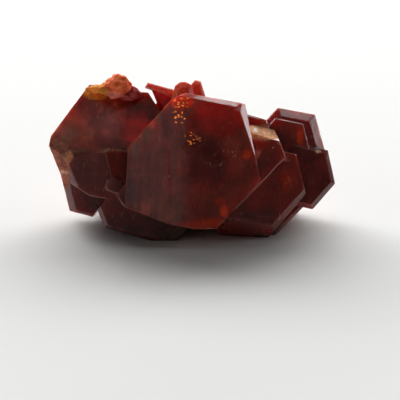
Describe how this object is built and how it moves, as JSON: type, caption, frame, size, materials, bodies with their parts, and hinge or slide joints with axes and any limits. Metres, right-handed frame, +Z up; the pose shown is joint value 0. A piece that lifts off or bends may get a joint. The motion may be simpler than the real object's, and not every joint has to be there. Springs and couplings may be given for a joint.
{
  "type": "vanadinite crystal",
  "caption": "Free-standing cluster of intergrown hexagonal tablets of deep red, translucent mineral, stepped and bevelled, resting on the flat scar where it left its rock",
  "frame": {"origin": "centre of the footprint of the bounding box, on the surface it rests on, at the flat scar underneath", "axes": "+Z up, +X along the length of the cluster, to the right of someone facing the broad front face, which looks along -Y and leans back"},
  "size_m": [0.0224, 0.0118, 0.0117],
  "materials": {
    "vanadinite": "glossy"
  },
  "bodies": {
    "root": {"crystal_cluster": "vanadinite"}
  },
  "joints": []
}
